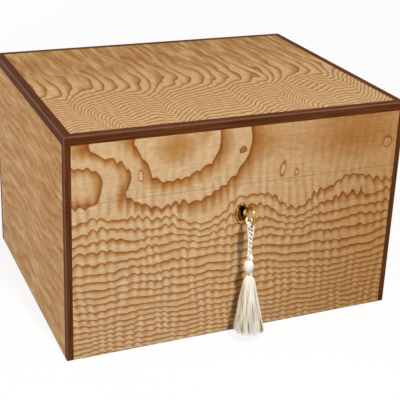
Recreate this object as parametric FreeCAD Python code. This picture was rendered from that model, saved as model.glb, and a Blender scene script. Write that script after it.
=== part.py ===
import FreeCAD, Part
import math
import os

Vector = FreeCAD.Vector

# Millimetres. X runs to the right, the front faces -Y and Z is up.
# The origin is the centre of the underside.

# The closed box, outside its veneer
width = 355.6
depth = 285.75
height = 228.6
lid_height = 67.2
seam_gap = 0.4

# Boards and veneer
wall = 12.0
veneer = 0.8
top_thickness = 11.0
bottom_thickness = 9.0
bottom_rebate = 5.0
felt_thickness = 1.0

# Walnut edging
corner_strip = 6.5
top_edging = 8.6
arris_radius = 1.0

# Linings
liner_thickness = 4.0
liner_stands_proud = 5.0
liner_round = 1.2
lip_clearance = 0.5
lining_board = 3.0

# Hinges
hinge_length = 45.0
hinge_inset = 70.0
hinge_leaf_width = 10.0
hinge_leaf = 1.6
knuckle_radius = 2.5
knuckle_count = 5
knuckle_gap = 0.25
knuckle_clearance = 0.3
pin_radius = 1.0
pin_clearance = 0.05
pin_head_radius = 1.7
pin_head_height = 0.9
hinge_screw_spacing = 15.0

# Lock
key_drop = 25.8
lock_half_width = 31.0
lock_below_key = 12.5
lock_setback = 3.0
lock_plate = 1.5
lock_rim = 1.6
selvedge = 2.0
selvedge_half_length = 38.0
selvedge_screw_x = 34.8
cap_post_radius = 2.2
cap_post_inset = 1.5
cap_post_height = 8.5
layer_gap = 0.1
running_gap = 0.3

# Curtain that turns with the key
drum_radius = 6.0
drum_thickness = 3.2
hub_radius = 3.0
nose_reach = 5.6
nose_radius = 1.0
nose_arm = 1.4
journal_radius = 2.4
journal_clearance = 0.08
start_angle = -45.0
key_turn = 90.0

# Bolt
talon_clearance = 0.35
talon_top_gap = 0.5
talon_leg_bottom = 3.8
bolt_half_width = 10.0
bolt_bar = 2.4
bolt_strip = 3.0
bolt_joint_overlap = 0.7
hook_post = 3.0
finger_height = 3.2
finger_gap = 1.0
stump_radius = 1.4
stump_height = 10.2

# Strike plate with its two staples
strike_plate = 1.6
staple_x = 16.0
staple_thickness = 2.2
staple_width = 5.2
staple_wall = 1.0
staple_foot = 1.5
staple_drop = 9.5
staple_clearance = 0.38

# Key
shank_radius = 1.9
shank_clearance = 0.25
shank_end_gap = 1.0
bit_thickness = 1.6
bit_reach = 5.4
bit_clearance = 0.25
bit_end_gap = 0.2
ward_width = 0.8
ward_depth = 1.2
bow_out = 19.5
bow_half_depth = 9.3
bow_half_height = 10.5
bow_end_radius = 7.6
bow_rim = 3.1
bow_thickness = 2.8
bow_round = 0.9
collar_radius = 3.3
collar_width = 1.8

# Escutcheon and keyhole
escutcheon_half_width = 6.8
escutcheon_half_height = 11.0
escutcheon_end_radius = 5.3
escutcheon_below_key = 4.6
escutcheon_plate = 1.1
escutcheon_rim_height = 2.0
escutcheon_rim = 1.4
escutcheon_round = 0.7
escutcheon_pin_radius = 0.6
escutcheon_pin_bite = 2.5
escutcheon_pin_inset = 2.5
escutcheon_pin_head_radius = 1.0
keyhole_radius = 2.5
keyhole_slot = 2.8
keyhole_reach = 6.2

# Screws
screw_head_radius = 1.9
screw_head_height = 1.3
screw_shank_radius = 1.0
screw_length = 7.0
screw_slot = 0.5
screw_slot_depth = 0.5
faceted_sides = 8

# Tassel
cord_diameter = 1.6
cord_beyond_bow = 2.0
cord_spread = 3.1
cord_over_rim = 3.2
cord_bends = ((1.8, 13.0), (1.45, 21.5))
cord_bend_below = 5.5
cord_end_spread = 1.2
knot_top = 95.8
knot_radius = 2.8
knot_height = 5.0
head_top = 90.6
head_radius = 5.5
head_height = 14.2
neck_radius = 2.6
skirt_top = 72.3
skirt_bottom = 11.3
skirt_top_radius = 4.4
skirt_bottom_radius = 15.0
skirt_waist_height = 30.0
skirt_waist_radius = 9.0
tassel_sides = 16

# Places that follow from the sizes
half_width = width / 2
half_depth = depth / 2
front_y = -half_depth
seam_z = height - lid_height
base_top = seam_z - seam_gap / 2
lid_bottom = seam_z + seam_gap / 2
lid_wall_top = height - top_thickness
edging_bottom = height - top_edging
core_x = half_width - veneer
core_y = half_depth - veneer
inner_x = half_width - wall
inner_y = half_depth - wall
floor_z = felt_thickness + bottom_thickness
lip_top = base_top + liner_stands_proud
key_z = seam_z - key_drop
bow_y = front_y - bow_out
tassel_y = bow_y - cord_beyond_bow

lock_y = (front_y + lock_setback, front_y + wall)
cavity_y = (lock_y[0] + lock_plate, lock_y[1] - lock_plate)
lock_bottom = key_z - lock_below_key
selvedge_bottom = base_top - selvedge
drum_y = (cavity_y[0] + layer_gap, cavity_y[0] + layer_gap + drum_thickness)
nose_y = (drum_y[1], cavity_y[1] - layer_gap)
tail_y = (drum_y[1] + 2 * layer_gap, cavity_y[1] - running_gap)
bar_y = (tail_y[0] + bolt_joint_overlap - bolt_bar, tail_y[0] + bolt_joint_overlap)
bar_centre_y = (bar_y[0] + bar_y[1]) / 2
bolt_travel = 2 * nose_reach * math.sin(math.radians(key_turn / 2))
talon_x = -bolt_travel / 2
staple_bottom = lid_bottom - staple_drop
hinge_y = half_depth + knuckle_radius + knuckle_clearance
hinge_x = half_width - hinge_inset

screw_places = (-hinge_screw_spacing, 0.0, hinge_screw_spacing)
sides = ("front", "back", "left", "right")
down = Vector(0, 0, -1)
up = Vector(0, 0, 1)
outward = Vector(0, -1, 0)
inward = Vector(0, 1, 0)
along_x = Vector(1, 0, 0)


def block(x, y, z):
    return Part.makeBox(x[1] - x[0], y[1] - y[0], z[1] - z[0], Vector(x[0], y[0], z[0]))


def rod(start, direction, radius, length):
    return Part.makeCylinder(radius, length, start, direction)


def outline(corners):
    return Part.makePolygon(corners + corners[:1])


def prism(corners, vector):
    return Part.Face(outline(corners)).extrude(vector)


def edges_at(shape, test):
    return [e for e in shape.Edges if all(test(v.Point) for v in e.Vertexes)]


def near(a, b):
    return abs(a - b) < 1e-4


def mitre(side, outer_x, outer_y, thickness, z):
    """The space of one side of a frame whose corners meet at 45 degrees."""
    x, y = outer_x, outer_y
    inner = (x - thickness, y - thickness)
    corners = {
        "front": [(-x, -y), (x, -y), (inner[0], -inner[1]), (-inner[0], -inner[1])],
        "back": [(-x, y), (x, y), (inner[0], inner[1]), (-inner[0], inner[1])],
        "left": [(-x, -y), (-x, y), (-inner[0], inner[1]), (-inner[0], -inner[1])],
        "right": [(x, -y), (x, y), (inner[0], inner[1]), (inner[0], -inner[1])],
    }[side]
    return prism([Vector(cx, cy, z[0]) for cx, cy in corners], Vector(0, 0, z[1] - z[0]))


def mitred_frame(outer_x, outer_y, thickness, z, outer_round=0.0, inner_round=0.0, corners=False):
    """Four mitred boards. The upper edges can be rounded, and the upright corners with them."""
    solid = block((-outer_x, outer_x), (-outer_y, outer_y), z)
    if outer_round:
        rounded = edges_at(solid, lambda p: near(p.z, z[1]))
        if corners:
            rounded += [e for e in solid.Edges if near(e.Vertexes[0].X, e.Vertexes[1].X)
                        and near(e.Vertexes[0].Y, e.Vertexes[1].Y)]
        solid = solid.makeFillet(outer_round, rounded)
    x, y = outer_x - thickness, outer_y - thickness
    ring = solid.cut(block((-x, x), (-y, y), (z[0] - 1, z[1] + 1)))
    if inner_round:
        inside = edges_at(ring, lambda p: near(p.z, z[1]) and abs(p.x) < x + 1e-4 and abs(p.y) < y + 1e-4)
        ring = ring.makeFillet(inner_round, inside)
    return {side: ring.common(mitre(side, outer_x, outer_y, thickness, z)) for side in sides}


def ring(centre, direction, radius, corners=faceted_sides):
    """The corners of a polygon square to a direction, for small round things that need few faces."""
    side = direction.cross(inward if abs(direction.z) > 0.5 else up)
    across = direction.cross(side)
    angles = [2 * math.pi * i / corners for i in range(corners)]
    return [centre + side * (radius * math.cos(a)) + across * (radius * math.sin(a)) for a in angles]


def flat_sided(rings):
    """A solid with flat sides through rings that have equally many corners."""
    faces = [Part.Face(outline(rings[0])), Part.Face(outline(rings[-1]))]
    for low, high in zip(rings, rings[1:]):
        faces += [Part.Face(outline([low[i - 1], low[i], high[i], high[i - 1]])) for i in range(len(low))]
    shell = Part.makeShell(faces)
    shell.sewShape()
    return Part.makeSolid(shell)


def faceted(start, direction, radius, length, end_radius=None):
    """A prism, or a tapered one, in place of a small cylinder or cone."""
    far = ring(start + direction * length, direction, end_radius or radius)
    return flat_sided([ring(start, direction, radius), far])


def screw_blank(point, direction, length=screw_length):
    """A countersunk screw without its slot. The point is the centre of its flat head."""
    head = faceted(point, direction, screw_head_radius, screw_head_height, screw_shank_radius)
    neck = point + direction * screw_head_height
    return head.fuse(faceted(neck, direction, screw_shank_radius, length - screw_head_height))


def screw(point, direction, length=screw_length):
    reach = screw_head_radius + 1
    across = direction.cross(inward if abs(direction.z) > 0.5 else up)
    side = direction.cross(across)
    start = point - across * reach - side * (screw_slot / 2) - direction
    corners = [start, start + across * 2 * reach]
    corners += [corners[1] + side * screw_slot, corners[0] + side * screw_slot]
    slot = prism(corners, direction * (1 + screw_slot_depth))
    return screw_blank(point, direction, length).cut(slot)


def keyhole(radius, slot, reach, y):
    """A round hole on the key's axis with a slot below it for the bit."""
    hole = rod(Vector(0, y[0], key_z), inward, radius, y[1] - y[0])
    return hole.fuse(block((-slot / 2, slot / 2), y, (key_z - reach, key_z)))


def corner_block(x_sign, y_sign, z, size=corner_strip):
    x = sorted((x_sign * half_width, x_sign * (half_width - size)))
    y = sorted((y_sign * half_depth, y_sign * (half_depth - size)))
    return block(x, y, z)


def corner_strips(z):
    """The four upright walnut strips, each with its outer arris taken off."""
    strips = {}
    for y_name, y_sign in (("front", -1), ("back", 1)):
        for x_name, x_sign in (("left", -1), ("right", 1)):
            strip = corner_block(x_sign, y_sign, z)
            arris = edges_at(strip, lambda p: near(abs(p.x), half_width) and near(abs(p.y), half_depth))
            strips[y_name + "_" + x_name] = strip.makeFillet(arris_radius, arris)
    return strips


def without_corners(board, z):
    for x_sign in (-1, 1):
        for y_sign in (-1, 1):
            board = board.cut(corner_block(x_sign, y_sign, z))
    return board


def side_veneers(z):
    """A sheet for each face, between the corner strips."""
    x, y = half_width - corner_strip, half_depth - corner_strip
    return {
        "front": block((-x, x), (-half_depth, -core_y), z),
        "back": block((-x, x), (core_y, half_depth), z),
        "left": block((-half_width, -core_x), (-y, y), z),
        "right": block((core_x, half_width), (-y, y), z),
    }


# Hinges

def hinge_screw_points(centre_x, z):
    y = half_depth - hinge_leaf_width / 2
    return [Vector(centre_x + place, y, z) for place in screw_places]


def leaf_plate(centre_x, z):
    x = (centre_x - hinge_length / 2, centre_x + hinge_length / 2)
    return block(x, (half_depth - hinge_leaf_width, half_depth), z)


def knuckles(centre_x, z, first):
    """Every second knuckle of the barrel, each with the strap that joins it to its leaf."""
    pitch = hinge_length / knuckle_count
    start = centre_x - hinge_length / 2
    made = []
    for i in range(first, knuckle_count, 2):
        x = (start + i * pitch + knuckle_gap / 2, start + (i + 1) * pitch - knuckle_gap / 2)
        strap = block(x, (half_depth, hinge_y), z)
        barrel = rod(Vector(x[0], hinge_y, seam_z), along_x, knuckle_radius, x[1] - x[0])
        made.append(strap.fuse(barrel))
    return made


def hinge_leaf_shape(centre_x, z, first, screw_face, screw_direction):
    leaf = leaf_plate(centre_x, z).multiFuse(knuckles(centre_x, z, first)).removeSplitter()
    bore_start = Vector(centre_x - hinge_length, hinge_y, seam_z)
    leaf = leaf.cut(rod(bore_start, along_x, pin_radius + pin_clearance, 2 * hinge_length))
    for point in hinge_screw_points(centre_x, screw_face):
        leaf = leaf.cut(screw_blank(point, screw_direction))
    return leaf


def hinge_pin(centre_x):
    """The pin runs through all the knuckles and is peened to a low head at both ends."""
    half = hinge_length / 2
    pin = rod(Vector(centre_x - half, hinge_y, seam_z), along_x, pin_radius, hinge_length)
    for sign in (-1, 1):
        end = Vector(centre_x + sign * half, hinge_y, seam_z)
        pin = pin.fuse(Part.makeCone(pin_head_radius, pin_radius, pin_head_height, end, along_x * sign))
    return pin.removeSplitter()


def hinge_screws(face, direction):
    made = []
    for centre_x in (-hinge_x, hinge_x):
        made += [screw(point, direction) for point in hinge_screw_points(centre_x, face)]
    return made


def cut_hinge_mortises(board, z, face, direction):
    for centre_x in (-hinge_x, hinge_x):
        board = board.cut(leaf_plate(centre_x, z))
        for point in hinge_screw_points(centre_x, face):
            board = board.cut(screw_blank(point, direction))
    return board


# Lock

def lock_envelope():
    case = block((-lock_half_width, lock_half_width), lock_y, (lock_bottom, base_top))
    flange = block((-selvedge_half_length, selvedge_half_length), lock_y, (selvedge_bottom, base_top))
    return case.fuse(flange).removeSplitter()


def selvedge_screw_points(z):
    y = (lock_y[0] + lock_y[1] - lip_clearance) / 2
    return [Vector(sign * selvedge_screw_x, y, z) for sign in (-1, 1)]


def cap_screw_points():
    x = lock_half_width - lock_rim - cap_post_inset
    low = lock_bottom + lock_rim + cap_post_inset
    return [Vector(sign * x, lock_y[1], z) for sign in (-1, 1) for z in (low, key_z + cap_post_height)]


def staple_slot(centre_x):
    half_x = staple_thickness / 2 + staple_clearance
    half_y = staple_width / 2 + staple_clearance
    x = (centre_x - half_x, centre_x + half_x)
    y = (bar_centre_y - half_y, bar_centre_y + half_y)
    return block(x, y, (selvedge_bottom - 1, base_top + 1))


def lock_case():
    """Front plate, rim and selvedge in one, with posts for the cap and a stump that guides the bolt."""
    cavity = block(
        (-lock_half_width + lock_rim, lock_half_width - lock_rim),
        (cavity_y[0], lock_y[1] + 1),
        (lock_bottom + lock_rim, selvedge_bottom),
    )
    cap_seat = block((-lock_half_width, lock_half_width), (cavity_y[1], lock_y[1] + 1), (lock_bottom, selvedge_bottom))
    case = lock_envelope().cut(cavity).cut(cap_seat)
    for point in cap_screw_points():
        foot = Vector(point.x, cavity_y[0], point.z)
        case = case.fuse(rod(foot, inward, cap_post_radius, cavity_y[1] - cavity_y[0]))
        case = case.cut(screw_blank(point, outward, screw_length))
    stump = Vector(0, cavity_y[0], key_z + stump_height)
    case = case.fuse(rod(stump, inward, stump_radius, cavity_y[1] - cavity_y[0])).removeSplitter()
    hole = keyhole(shank_radius + running_gap, bit_thickness + 2 * running_gap, bit_reach + running_gap, lock_y)
    case = case.cut(hole)
    for point in selvedge_screw_points(base_top):
        case = case.cut(screw_blank(point, down))
    for sign in (-1, 1):
        case = case.cut(staple_slot(sign * staple_x))
    return case


def lock_cap():
    plate = block((-lock_half_width, lock_half_width), (cavity_y[1], lock_y[1]), (lock_bottom, selvedge_bottom))
    start = Vector(0, cavity_y[1], key_z)
    plate = plate.cut(rod(start, inward, journal_radius + journal_clearance, lock_plate))
    for point in cap_screw_points():
        plate = plate.cut(screw_blank(point, outward, screw_length))
    return plate


def lock_screws():
    made = [screw(point, outward, screw_length) for point in cap_screw_points()]
    return made + [screw(point, down) for point in selvedge_screw_points(base_top)]


def lock_curtain():
    """A slotted drum that the bit turns, with a nose behind it that throws the bolt."""
    axis = Vector(0, drum_y[0], key_z)
    drum = rod(axis, inward, drum_radius, drum_thickness)
    slot_half = bit_thickness / 2 + bit_clearance
    drum = drum.cut(block((-slot_half, slot_half), drum_y, (key_z - drum_radius - 1, key_z)))
    layer = nose_y[1] - nose_y[0]
    back = Vector(0, nose_y[0], key_z)
    arm = block((-nose_arm / 2, nose_arm / 2), nose_y, (key_z, key_z + nose_reach))
    lobe = rod(Vector(0, nose_y[0], key_z + nose_reach), inward, nose_radius, layer)
    nose = arm.fuse(lobe)
    nose.rotate(back, inward, start_angle)
    hub = rod(back, inward, hub_radius, layer)
    journal = rod(Vector(0, nose_y[1], key_z), inward, journal_radius, lock_y[1] - nose_y[1] - layer_gap)
    curtain = drum.multiFuse([hub, nose, journal]).removeSplitter()
    depth_of_bore = nose_y[1] - shank_end_gap + shank_clearance - drum_y[0]
    return curtain.cut(rod(axis, inward, shank_radius + shank_clearance, depth_of_bore))


def lock_bolt():
    """A tail with the talon that the nose works in, and a bar with two hooks for the staples."""
    strip_top = staple_bottom - finger_gap / 2
    strip = (strip_top - bolt_strip, strip_top)
    tail_z = (key_z + talon_leg_bottom, strip_top)
    tail = block((talon_x - bolt_half_width, talon_x + bolt_half_width), tail_y, tail_z)
    talon_half = nose_radius + talon_clearance
    talon_top = key_z + nose_reach + nose_radius + talon_top_gap
    tail = tail.cut(block((talon_x - talon_half, talon_x + talon_half), tail_y, (tail_z[0], talon_top)))
    window_half = stump_radius + running_gap
    for x in (0.0, -bolt_travel):
        tail = tail.cut(rod(Vector(x, tail_y[0], key_z + stump_height), inward, window_half, tail_y[1] - tail_y[0]))
    stump_z = key_z + stump_height
    tail = tail.cut(block((-bolt_travel, 0), tail_y, (stump_z - window_half, stump_z + window_half)))
    finger_z = (staple_bottom + staple_foot + running_gap, staple_bottom + staple_foot + running_gap + finger_height)
    hooks = []
    for sign in (-1, 1):
        staple_left = sign * staple_x - staple_thickness / 2
        tip = staple_left - finger_gap
        post = staple_left - bolt_travel - 2 * running_gap
        hooks.append(block((post - hook_post, tip), bar_y, finger_z))
        hooks.append(block((post - hook_post, post), bar_y, (strip[0], finger_z[1])))
    left = hooks[1].BoundBox.XMin
    right = hooks[3].BoundBox.XMax
    hooks.append(block((left, max(right, talon_x + bolt_half_width)), bar_y, strip))
    return tail.multiFuse(hooks).removeSplitter()


def strike():
    """The plate under the lid's front board, with two staples that drop into the lock."""
    y = (lock_y[0], lock_y[1] - lip_clearance)
    plate_z = (lid_bottom, lid_bottom + strike_plate)
    plate = block((-selvedge_half_length, selvedge_half_length), y, plate_z)
    window_z = (staple_bottom + staple_foot, staple_bottom + staple_foot + finger_height + 2 * running_gap)
    for sign in (-1, 1):
        x = (sign * staple_x - staple_thickness / 2, sign * staple_x + staple_thickness / 2)
        outer = (bar_centre_y - staple_width / 2, bar_centre_y + staple_width / 2)
        window = (outer[0] + staple_wall, outer[1] - staple_wall)
        staple = block(x, outer, (staple_bottom, lid_bottom)).cut(block(x, window, window_z))
        plate = plate.fuse(staple)
    plate = plate.removeSplitter()
    for point in selvedge_screw_points(lid_bottom):
        plate = plate.cut(screw_blank(point, up))
    return plate


def strike_recess():
    y = (lock_y[0], lock_y[1] - lip_clearance)
    recess = block((-selvedge_half_length, selvedge_half_length), y, (lid_bottom, lid_bottom + strike_plate))
    for point in selvedge_screw_points(lid_bottom):
        recess = recess.fuse(screw_blank(point, up))
    return recess


# Escutcheon and key

def oval(centre, half_long, half_short, end_radius, short_way):
    """An upright oval face bounded by four tangent arcs."""
    offset = half_long - end_radius
    side_radius = (offset ** 2 + half_short ** 2 - end_radius ** 2) / (2 * (half_short - end_radius))
    lean = math.atan2(offset, side_radius - half_short)
    joint_long = side_radius * math.sin(lean)
    joint_short = side_radius * math.cos(lean) - (side_radius - half_short)
    joints = [(1, 1), (1, -1), (-1, -1), (-1, 1)]
    joints = [centre + up * (a * joint_long) + short_way * (b * joint_short) for a, b in joints]
    middles = [up * half_long, short_way * -half_short, up * -half_long, short_way * half_short]
    arcs = [Part.Arc(joints[i], centre + middles[i], joints[(i + 1) % 4]).toShape() for i in range(4)]
    return Part.Face(Part.Wire(arcs))


def escutcheon_pin_points(y):
    z = key_z - escutcheon_below_key
    reach = escutcheon_half_height - escutcheon_pin_inset
    return [Vector(0, y, z + sign * reach) for sign in (-1, 1)]


def escutcheon_outline(y, inset):
    centre = Vector(0, y, key_z - escutcheon_below_key)
    half_long, half_short = escutcheon_half_height - inset, escutcheon_half_width - inset
    return oval(centre, half_long, half_short, escutcheon_end_radius - inset, along_x)


def escutcheon():
    """An oval brass plate with a raised rim."""
    front = front_y - escutcheon_rim_height
    plate = escutcheon_outline(front_y, 0).extrude(outward * escutcheon_rim_height)
    plate = plate.makeChamfer(escutcheon_round, edges_at(plate, lambda p: near(p.y, front)))
    dish = escutcheon_outline(front_y - escutcheon_plate, escutcheon_rim)
    plate = plate.cut(dish.extrude(outward * escutcheon_rim_height))
    plate = plate.cut(keyhole(keyhole_radius, keyhole_slot, keyhole_reach, (front - 1, front_y + 1)))
    for point in escutcheon_pin_points(front):
        plate = plate.cut(faceted(point, inward, escutcheon_pin_radius, escutcheon_rim_height))
    return plate


def escutcheon_pins():
    made = []
    for point in escutcheon_pin_points(front_y - escutcheon_plate):
        shank = faceted(point, inward, escutcheon_pin_radius, escutcheon_plate + escutcheon_pin_bite)
        head = faceted(point, outward, escutcheon_pin_head_radius, escutcheon_pin_radius, escutcheon_pin_radius)
        made.append(shank.fuse(head))
    return made


def key():
    """A turned shank with a collar, an open oval bow and a warded bit that points down."""
    tip = nose_y[1] - shank_end_gap
    bow_back = bow_y + bow_half_depth - bow_rim / 2
    shank = rod(Vector(0, bow_back, key_z), inward, shank_radius, tip - bow_back)
    tip_edge = edges_at(shank, lambda p: near(p.y, tip))
    shank = shank.makeChamfer(shank_radius / 4, tip_edge)
    collar_y = bow_y + bow_half_depth
    collar = rod(Vector(0, collar_y, key_z), inward, collar_radius, collar_width)
    collar = collar.makeChamfer(collar_width / 3, [e for e in collar.Edges if e.Closed])
    half_x = bow_thickness / 2
    centre = Vector(-half_x, bow_y, key_z)
    bow = oval(centre, bow_half_height, bow_half_depth, bow_end_radius, inward)
    eye_sizes = (bow_half_height - bow_rim, bow_half_depth - bow_rim, bow_end_radius - bow_rim)
    bow = bow.cut(oval(centre, *eye_sizes, inward)).extrude(along_x * bow_thickness)
    bow = bow.makeChamfer(bow_round, edges_at(bow, lambda p: near(abs(p.x), half_x)))
    bit_y = (drum_y[0] + bit_end_gap, drum_y[1] - bit_end_gap)
    half_bit = bit_thickness / 2
    bit = block((-half_bit, half_bit), bit_y, (key_z - bit_reach, key_z))
    ward_y = (bit_y[0] + bit_y[1]) / 2
    ward = (ward_y - ward_width / 2, ward_y + ward_width / 2)
    bit = bit.cut(block((-half_bit, half_bit), ward, (key_z - bit_reach, key_z - bit_reach + ward_depth)))
    return bow.multiFuse([shank, collar, bit]).removeSplitter()


# Tassel

def cord_route():
    """From the knot up one side, over the lower rim of the bow and down the other side."""
    rim_radius = bow_end_radius - bow_rim / 2
    rim_z = key_z - bow_half_height + bow_end_radius - math.sqrt(rim_radius ** 2 - cord_beyond_bow ** 2)
    bends = [(x, rim_z - drop) for x, drop in cord_bends]
    side = [(cord_spread, rim_z + cord_over_rim), (cord_spread, rim_z - cord_bend_below)]
    side += bends + [(cord_end_spread, knot_top)]
    places = [(-x, z) for x, z in reversed(side)] + side
    return [Vector(x, tassel_y, z) for x, z in places]


def rounded_path(points):
    """Straight runs joined by tangent arcs, each as large as its two runs allow."""
    edges = []
    radii = []
    start = points[0]
    for before, corner, after in zip(points, points[1:], points[2:]):
        to_before = (before - corner).normalize()
        to_after = (after - corner).normalize()
        turn = math.pi - to_before.getAngle(to_after)
        back_off = 0.45 * min(before.distanceToPoint(corner), corner.distanceToPoint(after))
        radius = back_off / math.tan(turn / 2)
        first = corner + to_before * back_off
        last = corner + to_after * back_off
        middle_direction = (to_before + to_after).normalize()
        inside = radius / math.cos(turn / 2) - radius
        edges.append(Part.LineSegment(start, first).toShape())
        edges.append(Part.Arc(first, corner + middle_direction * inside, last).toShape())
        radii.append(round(radius, 2))
        start = last
    edges.append(Part.LineSegment(start, points[-1]).toShape())
    return Part.Wire(edges), radii


def tassel_cord():
    points = cord_route()
    path, radii = rounded_path(points)
    first_run = (points[1] - points[0]).normalize()
    section = outline(ring(points[0], first_run, cord_diameter / 2))
    tube = path.makePipeShell([section], True, False)
    expected = Part.Face(section).Area * path.Length
    print("cord length", round(path.Length, 2), "bend radii", radii)
    print("cord volume", round(tube.Volume, 2), "section times length", round(expected, 2))
    reach = cord_spread + cord_diameter
    above_knot = block((-reach, reach), (tassel_y - reach, tassel_y + reach), (knot_top, key_z))
    return tube.common(above_knot)


def turned(places):
    """A round form on the tassel's axis, as flat facets through rings of the given radius and height."""
    return flat_sided([ring(Vector(0, tassel_y, z), down, radius, tassel_sides) for radius, z in places])


def bulge(top, low, end_radius, radius):
    """The outline of a rounded bulge, as five straight facets."""
    middle, half = (top + low) / 2, (top - low) / 2
    swell = radius - end_radius
    steps = [math.radians(a) for a in (90, 54, 18, -18, -54, -90)]
    return [(end_radius + swell * math.cos(a), middle + half * math.sin(a)) for a in steps]


def tassel_head():
    """The knot, the wound ball below it and the neck that the skirt hangs from."""
    flat = cord_end_spread + cord_diameter / 2
    knot = bulge(knot_top, knot_top - knot_height, flat, knot_radius)
    ball = bulge(head_top, head_top - head_height, flat, head_radius)
    neck = [(neck_radius, head_top - head_height), (neck_radius, skirt_top)]
    return turned(knot + ball[:-1] + neck)


def tassel_skirt():
    waist = skirt_bottom + skirt_waist_height
    return turned([(skirt_top_radius, skirt_top), (skirt_waist_radius, waist), (skirt_bottom_radius, skirt_bottom)])


# The base and the lid

def base_boards():
    z = (0.0, base_top)
    boards = mitred_frame(core_x, core_y, wall - veneer, z)
    rebate_x, rebate_y = inner_x + bottom_rebate, inner_y + bottom_rebate
    rebate = block((-rebate_x, rebate_x), (-rebate_y, rebate_y), (0, floor_z))
    for side in sides:
        boards[side] = without_corners(boards[side], z).cut(rebate)
    hole = keyhole(keyhole_radius, keyhole_slot, keyhole_reach, (front_y, lock_y[0]))
    boards["front"] = boards["front"].cut(lock_envelope()).cut(hole)
    for point in selvedge_screw_points(base_top):
        boards["front"] = boards["front"].cut(screw_blank(point, down))
    for point in escutcheon_pin_points(front_y):
        boards["front"] = boards["front"].cut(faceted(point, inward, escutcheon_pin_radius, escutcheon_pin_bite))
    boards["back"] = cut_hinge_mortises(boards["back"], (base_top - hinge_leaf, base_top), base_top, down)
    return boards


def base_veneers():
    sheets = side_veneers((0.0, base_top))
    hole = keyhole(keyhole_radius, keyhole_slot, keyhole_reach, (front_y, lock_y[0]))
    sheets["front"] = sheets["front"].cut(hole)
    for point in escutcheon_pin_points(front_y):
        sheets["front"] = sheets["front"].cut(faceted(point, inward, escutcheon_pin_radius, veneer))
    for centre_x in (-hinge_x, hinge_x):
        sheets["back"] = sheets["back"].cut(leaf_plate(centre_x, (base_top - hinge_leaf, base_top)))
    return sheets


def lid_boards():
    z = (lid_bottom, lid_wall_top)
    boards = mitred_frame(core_x, core_y, wall - veneer - lip_clearance, z)
    for side in sides:
        boards[side] = without_corners(boards[side], z)
    boards["front"] = boards["front"].cut(strike_recess())
    boards["back"] = cut_hinge_mortises(boards["back"], (lid_bottom, lid_bottom + hinge_leaf), lid_bottom, up)
    return boards


def lid_veneers():
    sheets = side_veneers((lid_bottom, edging_bottom))
    for centre_x in (-hinge_x, hinge_x):
        sheets["back"] = sheets["back"].cut(leaf_plate(centre_x, (lid_bottom, lid_bottom + hinge_leaf)))
    return sheets


def lid_top():
    z = (lid_wall_top, height - veneer)
    panel = block((-core_x, core_x), (-core_y, core_y), z)
    panel = without_corners(panel, (lid_wall_top - 1, edging_bottom))
    x, y = half_width - top_edging, half_depth - top_edging
    edging_space = block((-half_width, half_width), (-half_depth, half_depth), (edging_bottom, height))
    edging_space = edging_space.cut(block((-x, x), (-y, y), (edging_bottom, height)))
    return panel.cut(edging_space)


def save(name, shapes):
    """Writes one STEP file, which may hold several like solids."""
    solids = [s for shape in (shapes if isinstance(shapes, list) else [shapes]) for s in shape.Solids]
    shape = solids[0] if len(solids) == 1 else Part.makeCompound(solids)
    if not solids or not shape.isValid():
        raise ValueError(name + " is not a valid solid")
    shape.exportStep(os.path.join("parts", name + ".step"))
    print(name, len(solids), "solid" if len(solids) == 1 else "solids")


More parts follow.
